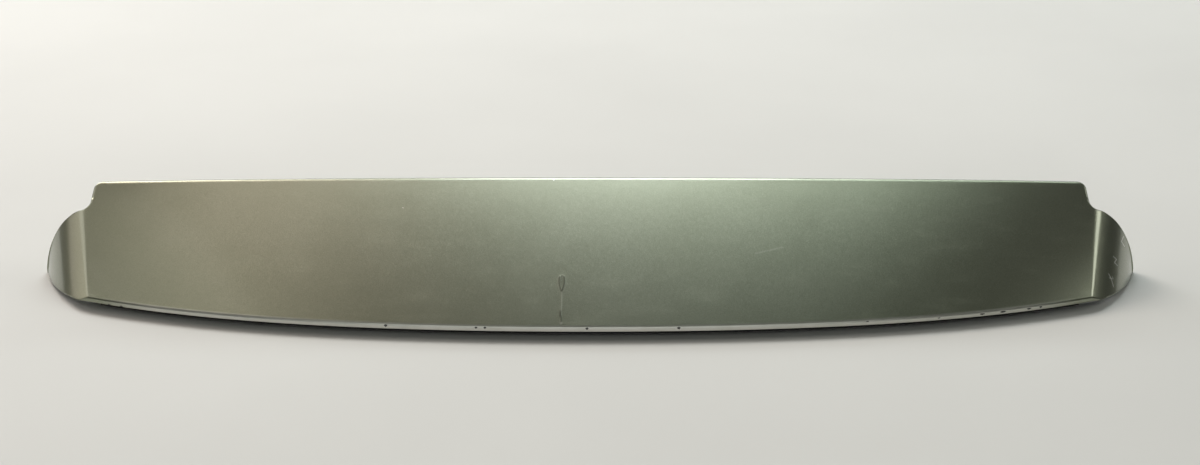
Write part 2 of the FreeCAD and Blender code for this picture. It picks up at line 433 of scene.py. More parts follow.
@dataclass(frozen=True)
class CellFoam:
    """Closed-cell foam with small pores, their pits darkened with painted shade."""

    colour: Colour = (0.022, 0.022, 0.024)
    pore_shade: Colour = (0.006, 0.006, 0.007)
    pore_scale: float = 1500.0
    pore_depth: float = 0.0003
    sheen: float = 0.15

    def material(self) -> Finish:
        """Return the finish as a material.

        Returns:
            The material.
        """
        b = NodeBoard("cell_foam")
        gap, _ = b.cells(self.pore_scale)
        pores = b.ramp(gap, 0.18, 0.5)
        # The pits take the darker pore colour: painted shade in the pores
        b.set(Base_Color=b.mix(pores, self.pore_shade, self.colour))
        b.set(Roughness=b.ramp(b.noise(120.0, 4.0), 0.3, 0.7, 0.82, 0.95))
        b.set(Normal=b.bump(pores, self.pore_depth, 0.8), Sheen_Weight=self.sheen)
        return b.material


@dataclass(frozen=True)
class SealRubber:
    """Extruded rubber with a dull skin."""

    colour: Colour = (0.005, 0.005, 0.0053)
    bloom: Colour = (0.011, 0.011, 0.011)
    shine: float = 0.2
    grain_depth: float = 0.00004

    def material(self) -> Finish:
        """Return the finish as a material.

        Returns:
            The material.
        """
        b = NodeBoard("seal_rubber")
        cloud = b.noise(40.0, 5.0, 0.6, (0.25, 1.0, 1.0))
        b.set(Base_Color=b.mix(b.ramp(cloud, 0.4, 0.8), self.colour, self.bloom), Specular_IOR_Level=self.shine)
        b.set(Roughness=b.ramp(cloud, 0.3, 0.7, 0.5, 0.7))
        b.set(Normal=b.bump(b.noise(1400.0, 3.0), self.grain_depth, 0.6))
        return b.material


@dataclass(frozen=True)
class ZincSteel:
    """Zinc-plated steel with a faint yellow passivation."""

    colour: Colour = (0.62, 0.61, 0.56)
    stain: Colour = (0.42, 0.37, 0.26)
    grain_depth: float = 0.00002

    def material(self) -> Finish:
        """Return the finish as a material.

        Returns:
            The material.
        """
        b = NodeBoard("zinc_steel")
        cloud = b.noise(260.0, 5.0, 0.6)
        b.set(Base_Color=b.mix(b.ramp(cloud, 0.48, 0.8), self.colour, self.stain), Metallic=1.0)
        b.set(Roughness=b.ramp(cloud, 0.3, 0.7, 0.28, 0.48))
        b.set(Normal=b.bump(b.noise(2600.0), self.grain_depth, 0.5))
        return b.material


def unit(vectors: np.ndarray) -> np.ndarray:
    """Return vectors at length one; one without a length stays as it is."""
    size = np.linalg.norm(vectors, axis=-1, keepdims=True)
    return vectors / np.where(size < TINY, 1.0, size)


def apart(a: Point, b: Point) -> float:
    """Return the distance between two points."""
    return float(np.linalg.norm(a - b))


def heading(turn: float) -> Point:
    """Return a direction in plan by its angle in radians."""
    return np.array((math.cos(turn), math.sin(turn)))


def crossing(test: Callable[[float], float], low: float, high: float) -> float:
    """Return where a rising function passes zero.

    Args:
        test: The function.
        low: Place before the crossing.
        high: Place after it.

    Returns:
        The crossing.
    """
    for _ in range(50):
        mid = 0.5 * (low + high)
        low, high = (mid, high) if test(mid) < 0.0 else (low, mid)
    return 0.5 * (low + high)


def rounded(before: Point, corner: Point, after: Point, leg_in: float, leg_out: float, count: int) -> list[Point]:
    """Return points round a corner between two straight runs.

    Args:
        before: Point on the run that comes in.
        corner: Sharp corner.
        after: Point on the run that goes out.
        leg_in: Length taken from the run that comes in.
        leg_out: Length taken from the run that goes out.
        count: Number of points, both ends among them.

    Returns:
        Points of a conic arc that is tangent to both runs.
    """
    u, v = unit(before - corner), unit(after - corner)
    weight = math.sqrt(max(0.0, (1.0 - float(u @ v)) / 2.0))
    p, q = corner + u * leg_in, corner + v * leg_out
    points = []
    for t in np.linspace(0.0, 1.0, count):
        b = np.array(((1.0 - t) ** 2, 2.0 * weight * t * (1.0 - t), t**2))
        points.append((b[0] * p + b[1] * corner + b[2] * q) / b.sum())
    return points


def tangent_leg(before: Point, corner: Point, after: Point, radius: float, sharpest: float = 2.7) -> float:
    """Return the length that a rounding takes from each run at a corner.

    Args:
        before: Point on the run that comes in.
        corner: Sharp corner.
        after: Point on the run that goes out.
        radius: Radius of the rounding.
        sharpest: Largest turn that is taken at its full value, in radians.

    Returns:
        The length.
    """
    u, v = unit(before - corner), unit(after - corner)
    turn = math.pi - math.acos(max(-1.0, min(1.0, float(u @ v))))
    return radius * math.tan(min(turn, sharpest) / 2.0)


@dataclass(frozen=True)
class PanelForm:
    """Rules that the painted moulding and its neighbours follow, in millimetres."""

    depth: float = 195.0
    front_half: float = 535.0
    bow_even: float = 49.0
    bow_end: float = 27.0
    rim_level: float = 10.0
    lip_z: float = 15.0
    trailing_z: float = 107.5
    trailing_crown: float = 3.5
    camber: float = 2.0
    wall: float = 3.0
    edge_height: float = 12.0
    crease_splay: float = 22.0
    crease_rear: float = 165.0
    ear_radius: float = 120.0
    ear_fold: float = 38.0
    ear_sweep: float = 0.3
    ear_turn: float = 45.6
    rim_end: float = 172.0
    overhang_half: float = 549.0
    overhang_taper: float = 2.0
    notch_r: float = 8.0
    corner_r: float = 10.0
    crease_r_front: float = 9.0
    crease_r_rear: float = 25.0
    land_z: float = 16.0
    flange_drop: float = 1.0
    foot_y: float = 90.0
    foot_bow: float = 0.5

    @property
    def y_lead(self) -> float:
        """Centre of the leading edge."""
        return -self.depth / 2.0

    @property
    def y_trail(self) -> float:
        """Trailing edge."""
        return self.depth / 2.0

    @property
    def side_lean(self) -> float:
        """Lean of the overhang's side in plan, in radians."""
        return math.atan2(self.overhang_taper, self.y_trail - self.ear_rear(self.overhang_half))

    @property
    def notch_entry(self) -> Point:
        """Place in plan where the overhang's side runs into the rounding of the notch."""
        sharp = np.array((self.overhang_half, self.ear_rear(self.overhang_half)))
        turn = math.radians(90.0) + self.side_lean - math.atan(self.ear_sweep)
        return sharp + self.notch_r / math.tan(turn / 2.0) * heading(self.side_lean + math.radians(90.0))

    @property
    def notch_hub(self) -> Point:
        """Centre of the rounding of the notch in plan."""
        return self.notch_entry + self.notch_r * heading(self.side_lean)

    def lead(self, x: float) -> float:
        """Leading edge in plan."""
        q = x / self.front_half
        return self.y_lead + self.bow_even * q**2 + self.bow_end * q**4

    def lead_slope(self, x: float) -> float:
        """Slope of the leading edge in plan."""
        q = x / self.front_half
        return (2.0 * self.bow_even * q + 4.0 * self.bow_end * q**3) / self.front_half

    def top(self, x: float) -> float:
        """Height of the sharp trailing edge."""
        return self.trailing_z + self.trailing_crown * (1.0 - (x / self.overhang_half) ** 2)

    def panel_z(self, x: float, y: float) -> float:
        """Height of the painted panel over a place.

        Args:
            x: Place across the part.
            y: Place from front to rear.

        Returns:
            The height.
        """
        front = self.lead(x)
        t = (y - front) / (self.y_trail - front)
        return self.lip_z + t * (self.top(x) - self.lip_z) + 4.0 * self.camber * t * (1.0 - t)

    def flange_z(self, x: float, y: float) -> float:
        """Lower end of the walls turned down behind the panel.

        Args:
            x: Place across the part.
            y: Place from front to rear.

        Returns:
            The height.
        """
        front = self.y_lead + self.foot_y + self.foot_bow * (self.lead(x) - self.y_lead)
        t = (y - front) / (self.y_trail - front)
        low, high = self.land_z - self.flange_drop, self.top(x) - self.edge_height
        return low + t * (high - low)

    def rim_z(self, y: float) -> float:
        """Lower end of lip and ears.

        Args:
            y: Place from front to rear.

        Returns:
            The height.
        """
        y0 = self.lead(self.front_half)
        y1 = self.y_lead + self.rim_end
        return self.rim_level * min(1.0, max(0.0, (y1 - y) / (y1 - y0)))

    def ear_rear(self, x: float) -> float:
        """Rear edge of the ear in plan."""
        return self.y_lead + self.crease_rear + self.ear_sweep * (x - self.front_half - self.crease_splay)

    def panel_point(self, x: float, y: float) -> Point:
        """Point of the painted panel."""
        return np.array((x, y, self.panel_z(x, y)))

    def along_lip(self, places: Sequence[float], back: float) -> list[Point]:
        """Return mirrored places at one distance behind the leading edge."""
        xs = [side * x for side in (-1.0, 1.0) for x in places]
        return [np.array((x, self.lead(x) + back, 0.0)) for x in xs]


class EarForm:
    """The rolled ear and the rounding of its crease, on the right side."""

    # Places beside the crease where the slope of the panel is read, in millimetres
    SLOPE_NEAR = -2.0
    SLOPE_FAR = -12.0
    # Share of upright in the section's own axis, near enough for the steps to close in
    AXIS_RISE = 0.9

    def __init__(self, form: PanelForm) -> None:
        """Set up the crease frame.

        Args:
            form: Sizes of the moulding.
        """
        self.form = form
        self.start = form.panel_point(form.front_half, form.lead(form.front_half))
        end = form.panel_point(form.front_half + form.crease_splay, form.y_lead + form.crease_rear)
        self.length = apart(end, self.start)
        self.along = (end - self.start) / self.length
        side = unit(np.cross(self.along, UP))
        up = np.cross(side, self.along)
        turn = math.radians(form.ear_fold)
        self.normal = side * math.sin(turn) + up * math.cos(turn)
        self.out = side * math.cos(turn) - up * math.sin(turn)

    def in_plane(self, s: float, a: float, b: float) -> Point:
        """Point of the section across the crease at s."""
        return self.start + self.along * s + self.out * a + self.normal * b

    def skin(self, share: float, s: float) -> Point:
        """Point of the rolled skin.

        Args:
            share: Share of the way from the crease rounding to the widest turn.
            s: Distance along the crease.

        Returns:
            The point.
        """
        r = self.form.ear_radius
        first = self.fillet(s)[4]
        theta = first + share * (math.radians(self.form.ear_turn) - first)
        return self.in_plane(s, r * math.sin(theta), r * (math.cos(theta) - 1.0))

    def panel_offset(self, s: float, a: float) -> float:
        """Height of the panel over the section's own axis.

        Args:
            s: Distance along the crease.
            a: Distance beside the crease.

        Returns:
            The height.
        """
        b = 0.0
        for _ in range(8):
            p = self.in_plane(s, a, b)
            b -= (p[2] - self.form.panel_z(p[0], p[1])) / self.AXIS_RISE
        return b

    def fillet(self, s: float) -> tuple[float, float, float, float, float]:
        """Rounding between panel and ear in the section at s.

        Args:
            s: Distance along the crease.

        Returns:
            Centre (two numbers), radius, and the two angles where it meets panel and ear.
        """
        f = self.form
        share = min(1.0, max(0.0, s / self.length))
        r = f.crease_r_front + (f.crease_r_rear - f.crease_r_front) * share
        b1, b2 = self.panel_offset(s, self.SLOPE_NEAR), self.panel_offset(s, self.SLOPE_FAR)
        m = (b1 - b2) / (self.SLOPE_NEAR - self.SLOPE_FAR)
        b0 = b1 - self.SLOPE_NEAR * m
        k = math.hypot(1.0, m)

        def centre(a: float) -> tuple[float, float]:
            """Centre of a rounding that leaves the panel at a."""
            return a + r * m / k, m * a + b0 - r / k

        def miss(a: float) -> float:
            """How far that rounding reaches past the ear."""
            ca, cb = centre(a)
            return math.hypot(ca, cb + f.ear_radius) - (f.ear_radius - r)
        ca, cb = centre(crossing(miss, -30.0, 0.5))
        return ca, cb, r, math.atan2(-m, 1.0), math.atan2(ca, cb + f.ear_radius)

    def rounding(self, q: float, s: float) -> Point:
        """Point of the crease rounding.

        Args:
            q: 0 at the panel and 1 at the ear.
            s: Distance along the crease.

        Returns:
            The point.
        """
        ca, cb, r, at_panel, at_ear = self.fillet(s)
        turn = at_panel + q * (at_ear - at_panel)
        return self.in_plane(s, ca + r * math.sin(turn), cb + r * math.cos(turn))


def linked(name: str, data: bpy.types.ID) -> Piece:
    """Return a new object in the scene.

    Args:
        name: Name of the object.
        data: Mesh, lamp or camera that it shows.

    Returns:
        The linked object.
    """
    piece = bpy.data.objects.new(name, data)
    bpy.context.scene.collection.objects.link(piece)
    return piece


def evaluated(piece: Piece) -> bpy.types.Mesh:
    """Return a plain mesh of an object with its modifiers applied."""
    return bpy.data.meshes.new_from_object(piece.evaluated_get(bpy.context.evaluated_depsgraph_get()))


def mesh_object(name: str, points: Iterable, faces: Sequence, material: Finish, edges: Sequence = ()) -> Piece:
    """Return a smooth mesh object at the origin.

    Args:
        name: Name of the piece.
        points: Vertices in metres.
        faces: Faces as vertex numbers.
        material: Finish.
        edges: Loose edges as vertex numbers.

    Returns:
        The linked object.
    """
    mesh = bpy.data.meshes.new(name)
    mesh.from_pydata([tuple(p) for p in points], list(edges), faces)
    mesh.validate()
    mesh.shade_smooth()
    mesh.materials.append(material)
    return linked(name, mesh)


class GeometryBoard:
    """A Geometry Nodes tree with named inputs that is baked into a plain mesh."""

    SHARP_ANGLE = math.radians(36.0)

    def __init__(self, name: str) -> None:
        """Start a tree with one geometry input and one output.

        Args:
            name: Name of the tree.
        """
        self.tree = bpy.data.node_groups.new(name, "GeometryNodeTree")
        for side in ("INPUT", "OUTPUT"):
            self.tree.interface.new_socket("Geometry", in_out=side, socket_type="NodeSocketGeometry")
        self.start = self.tree.nodes.new("NodeGroupInput")
        self.end = self.tree.nodes.new("NodeGroupOutput")
        self.values: dict[str, object] = {}

    def input(self, name: str, kind: str, value: object) -> Socket:
        """Add a named input and remember its value.

        Args:
            name: Name of the input.
            kind: Socket type.
            value: Value that the modifier gets.

        Returns:
            The socket inside the tree.
        """
        item = self.tree.interface.new_socket(name, in_out="INPUT", socket_type=kind)
        self.values[item.identifier] = value
        return self.start.outputs[name]

    def node(self, kind: str, **inputs: object) -> bpy.types.Node:
        """Return a new node with its inputs fed.

        Args:
            kind: Node type.
            inputs: Links or values by input name; underscores stand for spaces.

        Returns:
            The node.
        """
        node = self.tree.nodes.new(kind)
        for key, value in inputs.items():
            socket = node.inputs[key.replace("_", " ")]
            if isinstance(value, Socket):
                self.tree.links.new(value, socket)
            else:
                socket.default_value = value
        return node

    def bake(self, name: str, seed: Piece, result: Socket, material: Finish) -> Piece:
        """Run the tree on a seed object and keep the plain mesh.

        Args:
            name: Name of the piece.
            seed: Object that the tree starts from; it is removed.
            result: Geometry output that ends the tree.
            material: Finish.

        Returns:
            The linked object.
        """
        finish = self.input("Finish", "NodeSocketMaterial", material)
        real = self.node("GeometryNodeRealizeInstances", Geometry=result)
        done = self.node("GeometryNodeSetMaterial", Geometry=real.outputs["Geometry"], Material=finish)
        self.tree.links.new(done.outputs["Geometry"], self.end.inputs["Geometry"])
        modifier = seed.modifiers.new("nodes", "NODES")
        modifier.node_group = self.tree
        for identifier, value in self.values.items():
            modifier[identifier] = value
        mesh = evaluated(seed)
        mesh.name = name
        seed.modifiers.clear()
        bpy.data.objects.remove(seed)
        mesh.shade_smooth()
        mesh.set_sharp_from_angle(angle=self.SHARP_ANGLE)
        return linked(name, mesh)


@dataclass
class Mould:
    """Points and faces of a shape that grows by parts, in millimetres."""

    points: list[Point] = field(default_factory=list)
    faces: list[Face] = field(default_factory=list)

    def loft(self, rings: Sequence[np.ndarray], loop: bool = False) -> None:
        """Add a skin over closed rings that turn left seen from above their way.

        Args:
            rings: Rings of equal length, each turning left round the way from first to last.
            loop: True where the last ring joins the first; else both ends get a cap.
        """
        start, size, count = len(self.points), len(rings[0]), len(rings)
        for ring in rings:
            self.points.extend(np.asarray(ring, float))
        for i in range(count if loop else count - 1):
            for k in range(size):
                a, b = start + i * size, start + ((i + 1) % count) * size
                n = (k + 1) % size
                self.faces.append((a + k, a + n, b + n, b + k))
        if not loop:
            self.faces.append(tuple(start + k for k in range(size))[::-1])
            self.faces.append(tuple(start + (count - 1) * size + k for k in range(size)))


def spread(name: str, shape: Mould, places: Iterable[Point], turn: float, material: Finish) -> Piece:
    """Return copies of a shape set on points by Geometry Nodes.

    Args:
        name: Name of the piece.
        shape: Points and faces of one copy, in millimetres.
        places: Where the copies stand, in millimetres.
        turn: Largest turn about the upright axis, drawn by chance from a fixed seed.
        material: Finish.

    Returns:
        The linked object.
    """
    model = mesh_object(name + "_shape", np.array(shape.points) * MM, shape.faces, material)
    seed = mesh_object(name + "_places", np.array(list(places)) * MM, [], material)
    board = GeometryBoard(name + "_spread")
    info = board.node("GeometryNodeObjectInfo", Object=board.input("Shape", "NodeSocketObject", model))
    info.inputs["As Instance"].default_value = True
    most = board.node("ShaderNodeCombineXYZ", Z=board.input("Turn", "NodeSocketFloat", turn))
    chance = board.node("FunctionNodeRandomValue", Seed=board.input("Seed", "NodeSocketInt", 5))
    chance.data_type = "FLOAT_VECTOR"
    board.tree.links.new(most.outputs["Vector"], chance.inputs[1])
    chance.inputs[0].default_value = (0.0, 0.0, 0.0)
    copies = board.node("GeometryNodeInstanceOnPoints", Points=board.start.outputs["Geometry"],
                        Instance=info.outputs["Geometry"], Rotation=chance.outputs["Value"])
    piece = board.bake(name, seed, copies.outputs["Instances"], material)
    bpy.data.objects.remove(model)
    return piece


def swept(name: str, path: Sequence[Point], outline: Sequence[Point], material: Finish) -> Piece:
    """Return a closed outline swept along a level path by Geometry Nodes.

    Args:
        name: Name of the piece.
        path: Points of the path, in millimetres.
        outline: Points of the outline: distance to the left of the path, and height.
        material: Finish.

    Returns:
        The linked object.
    """
    flat = np.array(outline)
    shape = np.stack((-flat[:, 0], -flat[:, 1], np.zeros(len(flat))), axis=1)
    ring = [(k, (k + 1) % len(shape)) for k in range(len(shape))]
    chain = [(k, k + 1) for k in range(len(path) - 1)]
    model = mesh_object(name + "_outline", shape * MM, [], material, ring)
    seed = mesh_object(name + "_path", np.array(path) * MM, [], material, chain)
    board = GeometryBoard(name + "_sweep")
    info = board.node("GeometryNodeObjectInfo", Object=board.input("Outline", "NodeSocketObject", model))
    edge = board.node("GeometryNodeMeshToCurve", Mesh=info.outputs["Geometry"])
    line = board.node("GeometryNodeMeshToCurve", Mesh=board.start.outputs["Geometry"])
    level = board.node("GeometryNodeSetCurveNormal", Curve=line.outputs["Curve"])
    level.mode = "Z_UP"
    body = board.node("GeometryNodeCurveToMesh", Curve=level.outputs["Curve"], Profile_Curve=edge.outputs["Curve"])
    body.inputs["Fill Caps"].default_value = True
    piece = board.bake(name, seed, body.outputs["Mesh"], material)
    bpy.data.objects.remove(model)
    return piece


def block_ring(half_x: float, half_y: float, radius: float, z: float, steps: int = 5) -> np.ndarray:
    """Return a level ring round a rectangle with rounded corners.

    Args:
        half_x: Half width.
        half_y: Half depth.
        radius: Rounding of the corners.
        z: Height of the ring.
        steps: Points of each corner.

    Returns:
        Points of the ring.
    """
    radius = min(radius, half_x - 0.01, half_y - 0.01)
    quarter = 0.5 * math.pi
    ring = []
    for n, signs in enumerate(((1, 1), (-1, 1), (-1, -1), (1, -1))):
        corner = np.array(signs) * (half_x - radius, half_y - radius)
        for turn in np.linspace(0.0, quarter, steps):
            ring.append((*(corner + radius * heading(turn + n * quarter)), z))
    return np.array(ring)


def soft_block(half_x: float, half_y: float, radius: float, low: float, high: float, edge: float) -> list[np.ndarray]:
    """Return the rings of a block with rounded corners and softened upper and lower edges.

    Args:
        half_x: Half width.
        half_y: Half depth.
        radius: Rounding of the upright corners.
        low: Lower face.
        high: Upper face.
        edge: Rounding of the upper and lower edges.

    Returns:
        Rings from the lower face to the upper one.
    """
    turns = np.linspace(0.0, 0.5 * math.pi, 4)
    places = [(1.0 - math.sin(t), low + edge * (1.0 - math.cos(t))) for t in turns]
    places += [(1.0 - math.cos(t), high - edge * (1.0 - math.sin(t))) for t in turns]
    return [block_ring(half_x - edge * back, half_y - edge * back, radius, z) for back, z in places]


def fit(piece: Piece, node: str) -> None:
    """Let a piece stand for a CAD node and ride on the body.

    Args:
        piece: The dressed piece.
        node: CAD node that it replaces.
    """
    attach(piece, BODY)
    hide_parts(node)
    log.info("%s stands for %s, %d faces", piece.name, node, len(piece.data.polygons))


def smooth_copy(node: str, name: str, material: Finish, angle: float = 32.0, merge: float = 0.00002) -> Piece:
    """Return a merged copy of a CAD node with smooth curved faces.

    Args:
        node: CAD node.
        name: Name of the new piece.
        material: Finish.
        angle: Edges sharper than this stay sharp, in degrees.
        merge: Points closer than this become one, in metres.

    Returns:
        The linked object.
    """
    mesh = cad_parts[node].data.copy()
    mesh.name = name
    work = bmesh.new()
    work.from_mesh(mesh)
    bmesh.ops.remove_doubles(work, verts=work.verts, dist=merge)
    work.to_mesh(mesh)
    work.free()
    mesh.materials.clear()
    mesh.materials.append(material)
    mesh.shade_smooth()
    mesh.set_sharp_from_angle(angle=math.radians(angle))
    piece = linked(name, mesh)
    even = piece.modifiers.new("even_normals", "WEIGHTED_NORMAL")
    even.mode = "FACE_AREA"
    even.weight = 90
    even.keep_sharp = True
    piece.data = evaluated(piece)
    piece.modifiers.clear()
    piece.data.name = name
    return piece


@dataclass
class Line:
    """One line over the skin from the front boundary to the rear one."""

    skin: list[Point]
    edge_front: Point
    foot_front: Point
    edge_rear: Point
    foot_rear: Point


@dataclass(frozen=True)
class RearPlace:
    """Place on the rear outline in plan; the wall of a low one runs down to the ear's rim."""

    at: Point
    inward: Point
    low: bool = False


@dataclass(frozen=True)
class PaintRun:
    """Run in the paint near the middle of the lip, in millimetres up the panel from the lip."""

    x: float = -29.0
    zone: float = 60.0
    top: float = 68.0
    over: float = 2.5
    drop_half: float = 2.7
    flare: float = 1.75
    flare_power: float = 0.95
    shoulder: float = 0.84
    core: float = 0.3
    neck: float = 47.0
    halo_gap: float = 1.9
    halo_half: float = 0.9
    leaf_top: float = 23.0
    leaf_end: float = 13.5
    leaf_x: float = -0.9
    leaf_half: float = 0.95
    tail_lap: float = 3.0
    thread_lap: float = 8.0
    thread_half: float = 0.6
    end: float = 8.0
    dot: float = 5.4
    dot_half: float = 1.3
    height: float = 0.22
    line: float = 0.7
    tail_dark: float = 0.8
    halo_pale: float = 0.16
    thread_pale: float = 0.55

    def marks(self, x: np.ndarray, v: np.ndarray) -> tuple[np.ndarray, np.ndarray]:
        """Return how far places belong to the dark and to the pale parts of the run.

        Args:
            x: Places across the panel.
            v: Places up the panel from the lip.

        Returns:
            Dark and pale shares, 0 to 1.
        """
        rel = x - self.x
        share = np.clip((v - self.neck) / (self.top - self.neck), 0.0, 1.0)
        closing = np.clip(share - self.shoulder, 0.0, 1.0) / (1.0 - self.shoulder)
        half = self.drop_half * np.minimum(1.0, self.flare * share**self.flare_power)
        half = half * np.sqrt(np.clip(1.0 - closing**4, 0.0, 1.0))
        within = (v > self.neck) & (v < self.top + self.over)
        gap = np.maximum(np.abs(rel) - half, v - self.top)
        rim = np.where(within, np.exp(-((gap / self.line) ** 2)), 0.0)
        core = np.where(within & (gap < 0.0), self.core, 0.0)
        halo = np.where(within, np.exp(-(((gap - self.halo_gap) / self.halo_half) ** 2)), 0.0)
        leaf_mid, leaf_tall = 0.5 * (self.leaf_top + self.leaf_end), 0.5 * (self.leaf_top - self.leaf_end)
        leaf = np.exp(-(((rel - self.leaf_x) / self.leaf_half) ** 2 + ((v - leaf_mid) / leaf_tall) ** 4))
        strand = np.exp(-((rel / self.thread_half) ** 2))
        tail = strand * ((v < self.leaf_end + self.tail_lap) & (v > self.end))
        thread = strand * ((v <= self.neck) & (v > self.leaf_top - self.thread_lap))
        bead = np.exp(-((rel / self.dot_half) ** 2 + ((v - self.dot) / self.dot_half) ** 2))
        dark = np.maximum.reduce((rim, core, leaf, self.tail_dark * tail))
        pale = np.maximum.reduce((self.halo_pale * halo, self.thread_pale * thread, bead)) * (1.0 - dark)
        zone = np.abs(x) <= self.zone
        return dark * zone, pale * zone


@dataclass(frozen=True)
class Chip:
    """Chip in the paint of the lip, in millimetres."""

    x: float
    half: float
    up: float
    tall: float
    falloff: float = 0.7

    def strength(self, x: np.ndarray, z: np.ndarray) -> np.ndarray:
        """Return how far places belong to the chip, 0 to 1."""
        gap = ((x - self.x) / self.half) ** 2 + ((z - self.up) / self.tall) ** 2
        return np.exp(-gap * self.falloff)


@dataclass(frozen=True)
class LipRubAndHighlight:
    """Pale band along the face of the lip, a painted highlight that is partly paint worn by rubbing, in millimetres
    and shares.
    """

    full: float = 1.5
    depth: float = 1.7
    rise: float = 0.5
    end: float = 520.0
    end_fade: float = 60.0
    level: float = 0.86
    right_loss: float = 0.26
    right_from: float = 120.0
    right_over: float = 300.0
    left_loss: float = 0.1
    left_from: float = 250.0
    left_over: float = 200.0

    def share(self, x: np.ndarray, gap: np.ndarray, height: np.ndarray) -> np.ndarray:
        """Return how far places get the pale band of painted highlight and rubbing wear.

        Args:
            x: Places across the part.
            gap: Distances behind the leading edge.
            height: Heights over the rim.

        Returns:
            Shares, 0 to 1.
        """
        face = np.clip(self.full - gap / self.depth, 0.0, 1.0) * np.clip(height / self.rise, 0.0, 1.0)
        ends = np.clip((self.end - np.abs(x)) / self.end_fade, 0.0, 1.0)
        right = self.right_loss * np.clip((x - self.right_from) / self.right_over, 0.0, 1.0)
        left = self.left_loss * np.clip((-x - self.left_from) / self.left_over, 0.0, 1.0)
        return face * ends * (self.level - right - left)


# Rows of the inner side of a section: shares along the skin, and two more at each foot
INNER_SHARES = (1.0, 0.8, 0.55, 0.25, 0.0)
INNER_ROWS = len(INNER_SHARES) + 4


@dataclass
class OuterShell:
    """Painted moulding: panel, lip, ears and turned-down edges, in millimetres."""

    form: PanelForm = field(default_factory=PanelForm)
    run: PaintRun = field(default_factory=PaintRun)
    lip_band: LipRubAndHighlight = field(default_factory=LipRubAndHighlight)
    chips: tuple[Chip, ...] = ()
    chip_depth: float = 0.35
    chip_reach: float = 12.0
    chip_rear: float = 20.0
    lip_r: float = 3.5
    rear_r: float = 4.6
    ear_rear_r: float = 2.0
    foot_r: float = 0.5
    probe_front: float = 2.0
    probe_rear: float = 3.0
    wall_share: float = 0.22
    tip_lift: float = 2.2
    tip_fade: float = 3.0
    plain_half: float = 500.0
    spacing: float = 5.0
    run_band: tuple[float, float] = (8.0, 0.5)
    chip_band: tuple[float, float] = (2.0, 0.6)
    notch_step: float = 0.3
    fade_from: float = 6.0
    crease_lines: int = 9
    ear_lines: int = 44
    skin_rows: int = 74
    close_rows: float = 0.66
    close_share: float = 0.33
    far_bias: float = 1.25
    arc_rows: int = 7
    foot_rows: int = 4
    sharp_angle: float = 50.0
    before_crease: float = -20.0
    past_crease: float = 12.0
    rear_from: float = 0.55

    @cached_property
    def shares(self) -> np.ndarray:
        """Places of the rows between lip and trailing edge, close near the paint run."""
        close = np.linspace(0.0, self.close_share, int(self.skin_rows * self.close_rows))
        rest = np.linspace(0.0, 1.0, self.skin_rows - len(close) + 1)[1:]
        far = self.close_share + (1.0 - self.close_share) * (1.0 - (1.0 - rest) ** self.far_bias)
        return np.concatenate((close, far))

    def columns(self) -> list[float]:
        """Return the places of the plain panel lines from the centre outwards.

        Returns:
            Places across the part.
        """
        end = self.plain_half
        places = set(np.arange(0.0, end + 0.1, self.spacing))
        margin, step = self.chip_band
        fine = [(abs(self.run.x), *self.run_band)] + [(abs(c.x), c.half + margin, step) for c in self.chips]
        for centre, half, step in fine:
            places = {p for p in places if abs(p - centre) > half}
            places |= set(np.arange(max(0.0, centre - half), min(end, centre + half) + 1e-6, step))
        return sorted(round(float(p), 3) for p in places | {0.0, end})

    def rear_path(self, meet: Point) -> list[RearPlace]:
        """Return the rear outline from the trailing edge round the notch to the crease.

        Args:
            meet: Place in plan where the notch meets the crease rounding.

        Returns:
            Places in order, those of the notch marked low.
        """
        f = self.form
        lean, hub = f.side_lean, f.notch_hub
        tail = f.overhang_half - f.overhang_taper - f.corner_r * math.tan(math.radians(45.0) - lean / 2.0)
        centre = np.array((tail, f.y_trail - f.corner_r))
        edge = np.linspace(self.plain_half, tail, 9)[1:-1]
        path = [RearPlace(np.array((x, f.y_trail)), np.array((0.0, -1.0))) for x in edge]
        for turn in np.linspace(0.5 * math.pi, lean, 11):
            path.append(RearPlace(centre + f.corner_r * heading(turn), -heading(turn)))
        first, last = path[-1].at, f.notch_entry
        for t in np.linspace(0.0, 1.0, 6)[1:-1]:
            path.append(RearPlace(first + t * (last - first), -heading(lean)))
        end = math.atan2(*(meet - hub)[::-1]) + math.tau
        for turn in np.linspace(math.pi + lean, end, 9)[:-1]:
            path.append(RearPlace(hub + f.notch_r * heading(turn), heading(turn), True))
        return path

    def set_back(self, at: Point, inward: Point, probe: float, radius: float) -> tuple[Point, Point]:
        """Return where the rounding of an edge leaves the panel.

        Args:
            at: Place on the edge in plan.
            inward: Direction into the body there.
            probe: Distance over which the slope of the panel is read.
            radius: Radius of the rounding.

        Returns:
            Place in plan where the panel begins, and the point of the sharp edge.
        """
        edge, near = self.form.panel_point(*at), self.form.panel_point(*(at + inward * probe))
        leg = tangent_leg(near, edge, edge - UP, radius)
        return at + inward * leg * (apart(near[:2], edge[:2]) / apart(near, edge)), edge

    def panel_line(self, x_front: float, rear: RearPlace, rear_r: float) -> Line:
        """Return a line over the panel.

        Args:
            x_front: Place on the leading edge.
            rear: Place on the rear outline.
            rear_r: Rounding of the rear edge.

        Returns:
            The line.
        """
        f = self.form
        front = np.array((x_front, f.lead(x_front)))
        slope = f.lead_slope(x_front)
        into = np.array((-slope, 1.0)) / math.hypot(1.0, slope)
        begin, edge = self.set_back(front, into, self.probe_front, self.lip_r)
        stop, back = self.set_back(rear.at, rear.inward, self.probe_rear, rear_r)
        skin = [f.panel_point(*(begin + t * (stop - begin))) for t in self.shares]
        bottom = f.rim_z(rear.at[1]) if rear.low else f.flange_z(*rear.at)
        foot = np.array((*front, f.rim_z(front[1])))
        return Line(skin, edge, foot, back, np.array((*rear.at, bottom)))

